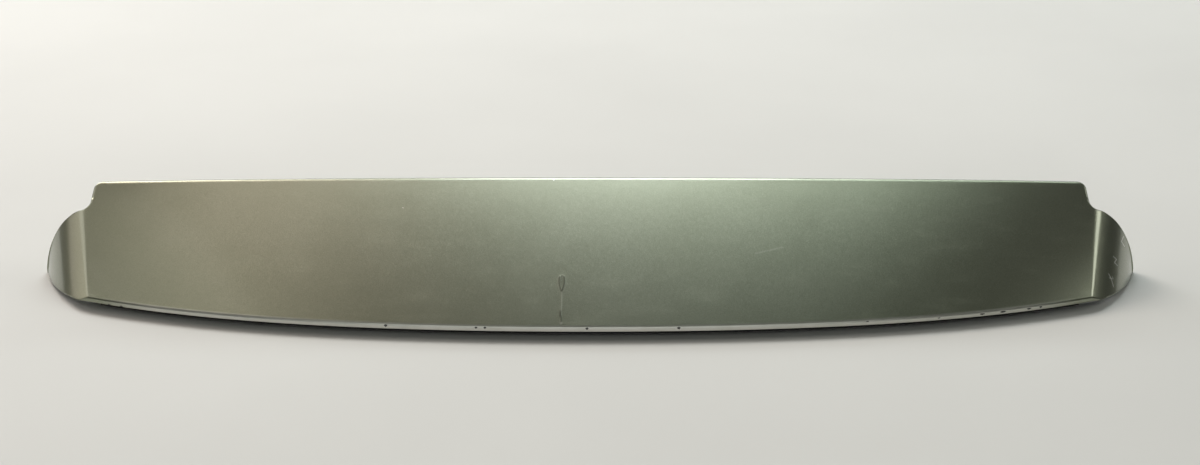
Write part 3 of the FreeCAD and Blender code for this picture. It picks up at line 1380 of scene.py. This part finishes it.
    def ear_line(self, at: Callable[[float], Point], length: float) -> Line:
        """Return a line over the crease rounding or the ear.

        Args:
            at: Point of the skin at a distance along the crease.
            length: Length of the crease.

        Returns:
            The line.
        """
        f = self.form
        hub = f.notch_hub
        notch_end = hub[0] + f.notch_r * math.sin(math.atan(f.ear_sweep))

        def behind_lip(s: float) -> float:
            """Distance behind the leading edge."""
            p = at(s)
            return p[1] - f.lead(p[0])

        def over_rim(s: float) -> float:
            """Height over the rim."""
            p = at(s)
            return p[2] - f.rim_z(p[1])

        def past_rear(s: float) -> float:
            """Distance past the notch or the ear's rear edge."""
            p = at(s)
            return f.notch_r - apart(p[:2], hub) if p[0] < notch_end else p[1] - f.ear_rear(p[0])
        first = self.before_crease
        s_front = max(crossing(behind_lip, first, length - 5.0), crossing(over_rim, first, length))
        s_rear = crossing(past_rear, length * self.rear_from, length + self.past_crease)
        low, back = at(s_front), at(s_rear)
        foot, drop = (np.array((p[0], p[1], f.rim_z(p[1]))) for p in (low, back))
        height = low[2] - foot[2]
        lift = self.tip_lift * max(0.0, 1.0 - height / self.tip_fade) ** 2
        s_edge = s_front + min(lift, 0.2 * (s_rear - s_front))
        edge, span = at(s_edge), s_rear - s_edge
        # Near the tip the lines are short, so the roundings take only a share of them
        leg_f = tangent_leg(at(s_edge + 0.1), edge, foot if height < 0.5 else edge - UP, self.lip_r)
        leg_f = min(leg_f, 0.2 * span, 0.45 * apart(edge, foot))
        leg_r = tangent_leg(at(s_rear - 0.1), back, back - UP, self.ear_rear_r)
        leg_r = min(leg_r, 0.25 * span, 0.4 * float(back[2] - drop[2]))
        first, last = s_edge + leg_f, s_rear - leg_r
        return Line([at(first + t * (last - first)) for t in self.shares], edge, foot, back, drop)

    def half(self) -> list[Line]:
        """Return the lines from the centre to the right ear's tip.

        Returns:
            Lines in order.
        """
        f = self.form
        ear = EarForm(f)
        trail = [(x, RearPlace(np.array((x, f.y_trail)), np.array((0.0, -1.0)))) for x in self.columns()]
        lines = [self.panel_line(x, rear, self.rear_r) for x, rear in trail]
        crease = self.ear_line(partial(ear.rounding, 0.0), ear.length)
        path = self.rear_path(crease.foot_rear[:2])
        for k, rear in enumerate(path):
            x = self.plain_half + (crease.foot_front[0] - self.plain_half) * (k + 1.0) / (len(path) + 1.0)
            fade = min(1.0, max(0.0, (k - self.fade_from) / (len(path) - self.fade_from)))
            r = self.rear_r + (self.ear_rear_r - self.rear_r) * fade
            if rear.low and not path[k - 1].low:
                lines.append(self.panel_line(x - self.notch_step, replace(rear, low=False), r))
            lines.append(self.panel_line(x, rear, r))
        skins = [partial(ear.rounding, q) for q in np.linspace(0.0, 1.0, self.crease_lines)]
        skins += [partial(ear.skin, share) for share in np.linspace(0.0, 1.0, self.ear_lines)[1:]]
        return lines + [self.ear_line(skin, ear.length) for skin in skins]

    def profile(self, line: Line, front_in: Point, rear_in: Point, thick: float) -> np.ndarray:
        """Return the closed section along a line.

        Args:
            line: The line over the skin.
            front_in: Direction into the body at the front foot.
            rear_in: Direction into the body at the rear foot.
            thick: Thickness of the wall.

        Returns:
            Points round the section, the outer side first.
        """
        inner_f, inner_r = line.foot_front + front_in * thick, line.foot_rear + rear_in * thick
        tall = apart(line.edge_front, line.foot_front)
        reach = apart(line.skin[0], line.edge_front)
        lip = rounded(line.skin[0], line.edge_front, line.foot_front, reach, min(reach, 0.6 * tall), self.arc_rows)
        leg = min(self.foot_r, 0.4 * max(tall, 0.1))
        foot = rounded(line.edge_front, line.foot_front, inner_f, leg, leg, self.foot_rows)
        tall = max(float(line.edge_rear[2] - line.foot_rear[2]), 0.1)
        reach = apart(line.skin[-1], line.edge_rear)
        back = rounded(line.skin[-1], line.edge_rear, line.edge_rear - UP, reach, min(reach, 0.6 * tall),
                       self.arc_rows)
        leg = min(self.foot_r, 0.3 * tall)
        heel = rounded(line.edge_rear, line.foot_rear, inner_r, leg, leg, self.foot_rows)
        wall = [back[-1] + t * (heel[0] - back[-1]) for t in (0.25, 0.5, 0.75)]
        outer = foot[::-1] + lip[::-1] + line.skin[1:-1] + back + wall + heel
        return np.array(outer + self.inside(line, inner_f, inner_r, thick))

    def inside(self, line: Line, inner_f: Point, inner_r: Point, thick: float) -> list[Point]:
        """Return the inner side of a section from the rear foot back to the front one.

        Args:
            line: The line over the skin.
            inner_f: Inner point of the front foot.
            inner_r: Inner point of the rear foot.
            thick: Thickness of the wall.

        Returns:
            Points of the inner side.
        """
        skin, last = np.array(line.skin), len(line.skin) - 1
        sunk = []
        for n in (min(last, int(len(skin) * share)) for share in INNER_SHARES):
            run = unit(skin[min(last, n + 1)] - skin[max(0, n - 1)])
            sunk.append(skin[n] - unit(np.cross(np.cross(run, UP), run)) * thick)
        rear_top = np.array((*inner_r[:2], max(inner_r[2], line.edge_rear[2] - 1.6 * thick)))
        front_top = np.array((*inner_f[:2], max(inner_f[2], line.edge_front[2] - 0.5 * thick)))
        return [inner_r, rear_top] + sunk + [front_top, inner_f]

    def inward(self, path: np.ndarray, side: float) -> np.ndarray:
        """Return level directions into the body along an outline of the right half.

        Args:
            path: Places in plan from the centre outwards.
            side: 1 for the front outline, -1 for the rear one.

        Returns:
            One direction for each place.
        """
        full = np.concatenate((path[:0:-1] * (-1.0, 1.0), path))
        step = np.gradient(full, axis=0)
        step[1:-1] = full[2:] - full[:-2]
        step = unit(step) * side
        level = np.stack((-step[:, 1], step[:, 0], np.zeros(len(step))), axis=1)
        return level[len(path) - 1:]

    def outside(self, grid: np.ndarray) -> np.ndarray:
        """Return which rows of the sections lie on the outer side."""
        return np.arange(grid.shape[1]) < grid.shape[1] - INNER_ROWS

    def rub_and_highlight(self, grid: np.ndarray) -> np.ndarray:
        """Return how far the face of the lip gets the pale band at each point, a painted highlight that is partly
        rubbing wear.

        Args:
            grid: Sections of the shell.

        Returns:
            Shares, 0 to 1.
        """
        x, y, z = np.moveaxis(grid, -1, 0)
        gap = y - np.vectorize(self.form.lead)(x)
        return self.lip_band.share(x, gap, z - self.form.rim_level) * self.outside(grid)

    def worn(self, grid: np.ndarray) -> tuple[np.ndarray, dict[str, np.ndarray]]:
        """Press the paint run and the chips into the skin.

        Args:
            grid: Sections of the shell.

        Returns:
            The worn grid and the strength of run, pale parts and chips at each point.
        """
        normal = unit(np.cross(np.gradient(grid, axis=0), np.gradient(grid, axis=1)))
        x, y, z = np.moveaxis(grid, -1, 0)
        up = np.hypot(y - np.vectorize(self.form.lead)(x), z - self.form.lip_z)
        run, pale = (share * self.outside(grid) for share in self.run.marks(x, up))
        chip = np.maximum.reduce([np.zeros(x.shape)] + [c.strength(x, z) for c in self.chips])
        chip = chip * (self.outside(grid) & (y < self.chip_rear) & (up < self.chip_reach))
        raised = np.maximum(run, 0.8 * pale) * self.run.height - chip * self.chip_depth
        grid = grid + normal * raised[..., None]
        grid[..., 2] = np.maximum(grid[..., 2], 0.0)
        return grid, {"run": run, "pale": pale, "chip": chip}

    def faces(self, count: int, rows: int) -> list[Face]:
        """Return the faces between closed sections, with a cap at both ends.

        Args:
            count: Number of sections.
            rows: Points of each section.

        Returns:
            Faces as vertex numbers.
        """
        index = [[i * rows + j for j in range(rows)] for i in range(count)]
        skin = [(a[j], b[j], b[(j + 1) % rows], a[(j + 1) % rows])
                for a, b in zip(index, index[1:]) for j in range(rows)]
        return skin + [tuple(index[0]), tuple(index[-1][::-1])]

    def build(self, material: Finish) -> Piece:
        """Build the shell as one closed mesh.

        Args:
            material: Paint.

        Returns:
            The linked object.
        """
        right = self.half()
        front_in = self.inward(np.array([line.foot_front[:2] for line in right]), 1.0)
        rear_in = self.inward(np.array([line.foot_rear[:2] for line in right]), -1.0)
        sections = []
        for line, a, b in zip(right, front_in, rear_in):
            thick = min(self.form.wall, self.wall_share * apart(line.edge_rear, line.edge_front))
            sections.append(self.profile(line, a, b, thick))
        left = [section * (-1.0, 1.0, 1.0) for section in sections[:0:-1]]
        grid, marks = self.worn(np.array(left + sections))
        # Pale lip band: painted highlight on the lip face, partly rubbing wear
        marks["lip"] = self.rub_and_highlight(grid)
        faces = self.faces(*grid.shape[:2])
        piece = mesh_object("painted_shell", grid.reshape(-1, 3) * MM, faces, material)
        for name, values in marks.items():
            layer = piece.data.attributes.new(name, "FLOAT", "POINT")
            layer.data.foreach_set("value", values.reshape(-1).astype(np.float32))
        piece.data.set_sharp_from_angle(angle=math.radians(self.sharp_angle))
        return piece


@dataclass(frozen=True)
class LipSeal:
    """Rubber strip behind the lip, in millimetres."""

    form: PanelForm
    half_length: float = 522.0
    front: float = 3.05
    rear: float = 12.9
    low: float = 6.6
    top_front: float = 12.4
    top_rear: float = 17.4
    bulb_r: float = 1.5
    heel_r: float = 2.4
    groove_at: float = 4.6
    groove_half: float = 1.0
    groove_rise: float = 0.4
    groove_r: float = 0.5
    stations: int = 175

    def outline(self) -> list[Point]:
        """Return the section: distance behind the lip, and height.

        Returns:
            Points round the section.
        """
        def arc(u: float, z: float, r: float, first: float, last: float, count: int) -> list[Point]:
            """Points of an arc between two angles in degrees."""
            return [np.array((u, z)) + r * heading(a) for a in np.radians(np.linspace(first, last, count))]
        r, at, low = self.groove_r, self.front + self.groove_at, self.low + self.groove_r
        bulb = arc(self.front + self.bulb_r, self.low + self.bulb_r, self.bulb_r, 180.0, 270.0, 6)
        groove = arc(at - self.groove_half, low, r, 270.0, 345.0, 4)
        groove += arc(at, low + self.groove_rise, r, 165.0, 15.0, 6)
        groove += arc(at + self.groove_half, low, r, 195.0, 270.0, 4)
        heel = arc(self.rear - self.heel_r, self.low + self.heel_r, self.heel_r, 270.0, 360.0, 8)
        return bulb + groove + heel + [np.array((self.rear, self.top_rear)), np.array((self.front, self.top_front))]

    def build(self, material: Finish) -> Piece:
        """Return the strip swept along the lip."""
        xs = np.linspace(-self.half_length, self.half_length, self.stations)
        return swept("lip_seal", [np.array((x, self.form.lead(x), 0.0)) for x in xs], self.outline(), material)


@dataclass(frozen=True)
class StudRow:
    """Threaded studs of the lower moulding, in millimetres."""

    form: PanelForm
    places: tuple[float, float] = (150.0, 420.0)
    back: float = 45.0
    crest: float = 3.0
    root: float = 2.5
    pitch: float = 1.0
    flank: float = 1.35
    flat: float = 0.12
    tip_r: float = 2.1
    tip_slope: float = 0.9
    run_out: float = 0.8
    thread_end: float = 13.0
    collar: float = 3.4
    collar_lap: float = 0.2
    collar_levels: tuple[float, ...] = (0.3, 5.2, 5.6)
    collar_end: float = 18.5
    head: float = 8.0
    head_corner: float = 2.0
    head_edge: float = 0.4
    head_end: float = 21.5
    sides: int = 24
    rings_per_turn: int = 6

    def spots(self) -> list[Point]:
        """Return where the studs stand."""
        return self.form.along_lip(self.places, self.back)

    def ring(self, radius: Union[float, np.ndarray], z: float) -> np.ndarray:
        """Return a level ring round the stud's axis."""
        turns = np.arange(self.sides) / self.sides * math.tau
        return np.stack((radius * np.cos(turns), radius * np.sin(turns), np.full(self.sides, z)), 1)

    def thread_ring(self, z: float) -> np.ndarray:
        """Return one ring of the thread.

        Args:
            z: Height over the tip.

        Returns:
            Points of the ring.
        """
        turns = np.arange(self.sides) / self.sides
        wave = np.abs(((z / self.pitch - turns) % 1.0) * 2.0 - 1.0)
        wave = np.clip(wave * self.flank - self.flat, 0.0, 1.0)
        radius = np.minimum(self.root + (self.crest - self.root) * wave, self.tip_r + z * self.tip_slope)
        ending = max(0.0, (z - self.thread_end + self.run_out) / self.run_out)
        return self.ring(radius + (self.root - radius) * ending, z)

    def shape(self) -> Mould:
        """Return one stud standing on its tip.

        Returns:
            Points and faces of the stud.
        """
        mould = Mould()
        heights = np.arange(0.0, self.thread_end + 0.01, self.pitch / self.rings_per_turn)
        mould.loft([self.thread_ring(z) for z in heights])
        rings = [self.ring(self.root, self.thread_end - self.collar_lap)]
        mould.loft(rings + [self.ring(self.collar, self.thread_end + z) for z in self.collar_levels])
        head = soft_block(self.head, self.head, self.head_corner, self.collar_end, self.head_end, self.head_edge)
        mould.loft(head)
        return mould

    def build(self, material: Finish) -> Piece:
        """Return all the studs as one piece."""
        return spread("studs", self.shape(), self.spots(), 0.0, material)


@dataclass(frozen=True)
class FoamRings:
    """Foam rings round the stud bosses, in millimetres."""

    studs: StudRow
    inner: float = 9.4
    outer: float = 16.0
    low: float = 11.0
    high: float = 16.0
    soft: float = 0.9
    uneven: float = 1.5
    shrink: float = 0.2
    waves: tuple[Triple, ...] = ((0.12, 3.0, 0.0), (0.08, 7.0, 1.0))
    sides: int = 72

    def shape(self) -> Mould:
        """Return one ring with soft edges and a slightly uneven outer side.

        Returns:
            Points and faces of the ring.
        """
        places = ((self.inner, self.low), (self.outer, self.low), (self.outer, self.high), (self.inner, self.high))
        corners = [np.array(place) for place in places]
        points: list[Point] = []
        for k, corner in enumerate(corners):
            points += rounded(corners[k - 1], corner, corners[(k + 1) % len(corners)], self.soft, self.soft, 5)
        u, z = np.array(points).T
        rings = []
        for a in np.arange(self.sides) / self.sides * math.tau:
            sag = sum(size * math.sin(count * a + shift) for size, count, shift in self.waves) - self.shrink
            radius = u + np.where(u > self.outer - self.uneven, sag, 0.0)
            rings.append(np.stack((radius * math.cos(a), radius * math.sin(a), z), 1))
        mould = Mould()
        mould.loft(rings[::-1], loop=True)
        return mould

    def build(self, material: Finish) -> Piece:
        """Return all the rings as one piece."""
        return spread("foam_rings", self.shape(), self.studs.spots(), math.tau, material)


@dataclass(frozen=True)
class PushClips:
    """Push-in clips of the lower moulding, in millimetres; legs and tips are half widths and heights."""

    form: PanelForm
    places: tuple[float, float] = (285.0, 500.0)
    back: float = 40.0
    plate: tuple[float, float] = (10.0, 8.0)
    plate_corner: float = 2.5
    plate_edge: float = 0.45
    plate_low: float = 14.4
    plate_high: float = 16.0
    neck: float = 3.5
    neck_corner: float = 0.8
    neck_lap: float = 0.2
    neck_end: float = 18.5
    depth: float = 2.5
    slit_half: float = 0.75
    leg_corner: float = 0.4
    legs: tuple[tuple[float, float], ...] = ((2.4, 4.4), (3.1, 6.4), (3.7, 8.6), (4.0, 10.1), (4.0, 10.6),
                                             (3.35, 11.6), (3.2, 12.0), (3.2, 14.6))
    tips: tuple[tuple[float, float], ...] = ((0.9, 1.5), (1.35, 1.85), (1.9, 3.0), (2.4, 4.5))
    tip_level: float = 2.6

    def shape(self) -> Mould:
        """Return one clip: base plate, neck, and two barbed legs joined at the tip.

        Returns:
            Points and faces of the clip.
        """
        mould = Mould()
        mould.loft(soft_block(*self.plate, self.plate_corner, self.plate_low, self.plate_high, self.plate_edge))
        mould.loft(soft_block(self.neck, self.neck, self.neck_corner, self.plate_high - self.neck_lap,
                              self.neck_end, self.neck_lap))
        for side in (-1.0, 1.0):
            rings = []
            for half, z in self.legs:
                ring = block_ring(0.5 * (half - self.slit_half), self.depth, self.leg_corner, z, 3)
                rings.append(ring + (side * 0.5 * (half + self.slit_half), 0.0, 0.0))
            mould.loft(rings)
        depths = [self.depth - 0.5 * max(0.0, self.tip_level - z) for _, z in self.tips]
        mould.loft([block_ring(half, depth, self.leg_corner, z, 3) for (half, z), depth in zip(self.tips, depths)])
        return mould

    def build(self, material: Finish) -> Piece:
        """Return all the clips as one piece."""
        return spread("push_clips", self.shape(), self.form.along_lip(self.places, self.back), 0.0, material)


@dataclass(frozen=True)
class SoftBox:
    """Soft lamp on a dome round the part.

    turn is the direction from the +X side and lift the height angle, both in degrees. size is
    width and height in metres, and power is in watts.
    """

    name: str
    turn: float
    lift: float
    size: tuple[float, float]
    power: float
    colour: Colour

    def hang(self, dome: float, hub: float) -> None:
        """Hang the lamp so that it looks at the part.

        Args:
            dome: Radius of the dome in metres.
            hub: Height of its centre in metres.
        """
        data = bpy.data.lights.new(self.name, "AREA")
        data.shape = "RECTANGLE"
        data.size, data.size_y = self.size
        data.energy = self.power
        data.color = self.colour
        lamp = linked(self.name, data)
        a, e = math.radians(self.turn), math.radians(self.lift)
        way = Vector((math.cos(a) * math.cos(e), math.sin(a) * math.cos(e), math.sin(e))) * dome
        lamp.location = way + Vector((0.0, 0.0, hub))
        lamp.rotation_euler = (-way).to_track_quat("-Z", "Y").to_euler()


LAMPS = (
    SoftBox("front_low", 270.0, 15.0, (4.0, 1.6), 21.0, (1.0, 0.97, 0.95)),
    SoftBox("front_mid", 270.0, 38.0, (4.0, 1.6), 22.0, (0.92, 1.0, 0.90)),
    SoftBox("left_low", 180.0, 16.0, (3.0, 1.4), 15.0, (1.0, 0.89, 0.77)),
    SoftBox("left_mid", 177.0, 35.0, (2.6, 1.9), 24.0, (1.0, 0.92, 0.87)),
    SoftBox("rear_low_left", 135.0, 25.0, (2.6, 1.6), 40.0, (0.93, 0.92, 1.0)),
    SoftBox("rear_strip", 90.0, 28.0, (8.0, 0.6), 66.0, (0.92, 1.0, 0.99)),
    SoftBox("rear_mid_left", 130.0, 44.0, (2.4, 1.6), 84.0, (1.0, 0.92, 0.80)),
    SoftBox("rear_mid", 90.0, 44.0, (2.4, 1.4), 14.0, (1.0, 1.0, 1.0)),
    SoftBox("rear_high_left", 134.0, 57.0, (2.0, 1.6), 28.0, (1.0, 0.80, 0.74)),
    SoftBox("rear_high", 88.0, 56.5, (1.4, 1.6), 57.0, (0.94, 0.98, 1.0)),
    SoftBox("rear_high_right", 60.0, 57.0, (1.4, 1.6), 20.0, (0.87, 1.0, 0.91)),
    SoftBox("top_left", 178.0, 58.0, (2.0, 1.6), 7.0, (1.0, 0.92, 0.78)),
    SoftBox("right_mid", 3.0, 34.5, (2.0, 1.55), 28.0, (1.0, 1.0, 0.94)),
    SoftBox("right_high", 5.0, 60.0, (1.8, 1.8), 0.6, (1.0, 0.98, 0.86)),
)


@dataclass(frozen=True)
class Studio:
    """Camera, floor and soft lights, in metres."""

    eye: Triple = (0.011, -1.7905, 0.8042)
    aim: Triple = (0.011, 0.0639, 0.055)
    lens: float = 54.54
    sensor: float = 36.0
    clip: tuple[float, float] = (0.05, 60.0)
    floor_half: float = 9.0
    floor_colour: Colour = (0.70, 0.704, 0.688)
    floor_shade: float = 0.96
    room_level: float = 0.032
    room_colour: Colour = (1.0, 1.0, 0.94)
    dome: float = 5.0
    hub: float = 0.06

    def camera(self) -> None:
        """Make the camera."""
        data = bpy.data.cameras.new("camera")
        data.sensor_width = self.sensor
        data.lens = self.lens
        data.clip_start, data.clip_end = self.clip
        cam = linked("camera", data)
        cam.location = self.eye
        cam.rotation_euler = (Vector(self.aim) - Vector(self.eye)).to_track_quat("-Z", "Y").to_euler()
        bpy.context.scene.camera = cam

    def floor(self) -> None:
        """Lay the pale floor."""
        b = NodeBoard("floor_paper")
        dark = tuple(self.floor_shade * c for c in self.floor_colour)
        b.set(Base_Color=b.mix(b.ramp(b.noise(2.0, 3.0), 0.3, 0.7), self.floor_colour, dark))
        b.set(Roughness=0.7, Specular_IOR_Level=0.2)
        corners = [(x * self.floor_half, y * self.floor_half, 0.0) for x, y in ((-1, -1), (1, -1), (1, 1), (-1, 1))]
        ground = mesh_object("floor", corners, [(0, 1, 2, 3)], b.material)

    def world(self) -> None:
        """Fill the room with even light."""
        world = bpy.data.worlds.new("room")
        world.use_nodes = True
        back = world.node_tree.nodes["Background"]
        back.inputs["Color"].default_value = (*self.room_colour, 1.0)
        back.inputs["Strength"].default_value = self.room_level
        bpy.context.scene.world = world

    def build(self) -> None:
        """Set up the whole studio."""
        bpy.context.scene.view_settings.view_transform = "Standard"
        self.camera()
        self.floor()
        self.world()
        for lamp in LAMPS:
            lamp.hang(self.dome, self.hub)


# Chips along the lip: place across, half width, height, half height
CHIPS = (
    Chip(-210.0, 1.6, 13.6, 1.0), Chip(-116.5, 1.3, 13.8, 0.9), Chip(-107.3, 1.3, 13.8, 0.9),
    Chip(-2.4, 1.4, 13.8, 1.0), Chip(92.0, 1.6, 13.8, 1.0), Chip(288.0, 1.4, 14.2, 0.5),
    Chip(364.0, 1.8, 12.8, 0.4), Chip(411.0, 3.0, 13.0, 0.45), Chip(434.0, 3.2, 13.3, 0.5),
    Chip(463.0, 2.4, 13.2, 0.5), Chip(470.0, 3.0, 12.0, 0.7), Chip(476.0, 1.6, 13.4, 0.5),
    Chip(482.0, 3.6, 12.3, 0.8), Chip(491.0, 3.0, 11.6, 0.6), Chip(498.0, 2.5, 11.8, 0.9),
    Chip(506.0, 2.2, 11.5, 0.9),
    Chip(-510.0, 2.4, 11.2, 0.9), Chip(-503.0, 1.8, 11.6, 0.8), Chip(-496.0, 2.0, 11.0, 0.8),
)
EAR_SCRATCHES = (
    Scratch((570.5, 36.4, 37.9), (574.7, 38.0, 33.7), 1.0),
    Scratch((574.7, 38.0, 33.7), (571.1, 32.4, 32.5), 0.9),
    Scratch((571.1, 32.4, 32.5), (575.3, 34.2, 28.2), 1.0),
    Scratch((560.6, 14.8, 27.0), (564.1, 13.0, 20.7), 1.0),
    Scratch((564.1, 13.0, 20.7), (566.0, 9.5, 14.0), 1.1),
    Scratch((566.0, 16.4, 22.4), (569.5, 14.2, 16.6), 0.9, 0.7),
    Scratch((560.9, 11.9, 23.1), (566.6, 15.0, 20.6), 0.8, 0.7),
    Scratch((589.7, 71.1, 47.3), (585.5, 62.7, 44.8), 0.9),
    Scratch((585.5, 62.7, 44.8), (590.0, 64.5, 38.1), 0.9),
)
PANEL_SCRATCHES = (
    Scratch((176.3, -7.3, 59.7), (206.0, 1.2, 63.4), 1.6, 0.1),
    Scratch((-40.3, 89.9, 107.5), (-39.8, 88.6, 107.0), 0.8),
    Scratch((-203.7, 52.4, 89.0), (-202.8, 51.8, 88.7), 0.7, 0.6),
)


def main() -> None:
    """Build every piece in order."""
    logging.basicConfig(level=logging.INFO, format="%(name)s: %(message)s")
    Studio().build()
    shell = OuterShell(chips=CHIPS)
    paint = MetallicPaint(scratches=EAR_SCRATCHES + PANEL_SCRATCHES)
    fit(shell.build(paint.material()), "outer_shell")
    grained = MouldedPlastic("grained_plastic", (0.020, 0.020, 0.021), (0.034, 0.034, 0.033))
    fit(smooth_copy("closing_panel", "lower_moulding", grained.material()), "closing_panel")
    foam = CellFoam().material()
    fit(smooth_copy("ear_pads", "ear_foam", foam), "ear_pads")
    studs = StudRow(shell.form)
    fit(FoamRings(studs).build(foam), "stud_washers")
    fit(studs.build(ZincSteel().material()), "mounting_studs")
    nylon = MouldedPlastic("clip_plastic", (0.55, 0.54, 0.50), (0.62, 0.61, 0.58), 0.4, 1500.0, 0.00004)
    fit(PushClips(shell.form).build(nylon.material()), "retaining_clips")
    fit(LipSeal(shell.form).build(SealRubber().material()), "leading_edge_seal")


if __name__ == "__main__":
    main()
